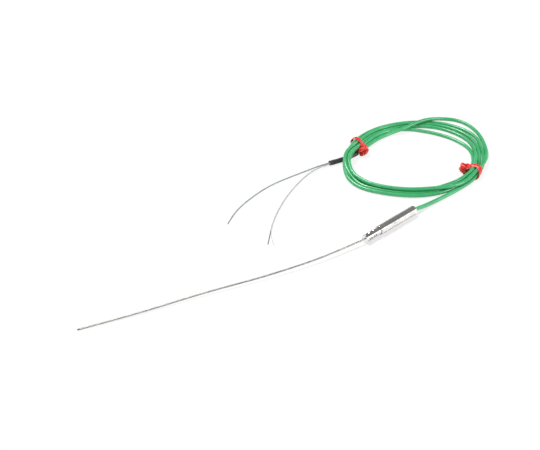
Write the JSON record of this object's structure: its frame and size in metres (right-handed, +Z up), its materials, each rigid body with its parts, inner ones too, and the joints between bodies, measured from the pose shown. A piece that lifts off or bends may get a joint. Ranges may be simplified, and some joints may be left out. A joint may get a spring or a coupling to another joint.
{
  "type": "thermocouple probe",
  "caption": "Thin mineral-insulated metal sheath crimped in a polished stainless pot, with a green jacketed lead tied in a coil and bare-ended colour-coded tails, for measuring temperature.",
  "frame": {"origin": "middle of the pot's barrel, on its axis; the table is one barrel radius below", "axes": "+X along the pot from the sheath towards the lead, +Z up"},
  "size_m": [0.3269, 0.09, 0.0086],
  "materials": {
    "sheath_steel": "drawn stainless, satin",
    "pot_steel": "turned and polished stainless",
    "magnesia": "packed powder",
    "element_alloy": "bare nickel alloy wire",
    "resin": "cast",
    "ferrule_metal": "tinned",
    "splice_sleeving": "heat-shrunk",
    "jacket_green": "extruded, glossy",
    "tail_green": "extruded, pale green-grey",
    "tail_white": "extruded, white",
    "lead_alloy": "stranded bare alloy",
    "sleeve_black": "heat-shrunk, matte",
    "tie_red": "thin coated strip",
    "tie_steel": "bare wire end"
  },
  "bodies": {
    "root": {"cable_coil": "jacket_green", "cable_end": "jacket_green", "heat_shrink": "sleeve_black", "hot_junction": "element_alloy", "lead_cable": "jacket_green", "left_tie": "tie_red", "left_tie_wire": "tie_steel", "magnesia_filling": "magnesia", "negative_core": "tail_white", "negative_core_wire": "lead_alloy", "negative_splice": "ferrule_metal", "negative_splice_sleeve": "splice_sleeving", "negative_tail": "tail_white", "negative_tail_wire": "lead_alloy", "negative_thermoelement": "element_alloy", "positive_core": "tail_green", "positive_core_wire": "lead_alloy", "positive_splice": "ferrule_metal", "positive_splice_sleeve": "splice_sleeving", "positive_tail": "tail_green", "positive_tail_wire": "lead_alloy", "positive_thermoelement": "element_alloy", "pot_body": "pot_steel", "potting_resin": "resin", "right_tie": "tie_red", "right_tie_wire": "tie_steel", "sheath_tube": "sheath_steel"}
  },
  "joints": []
}
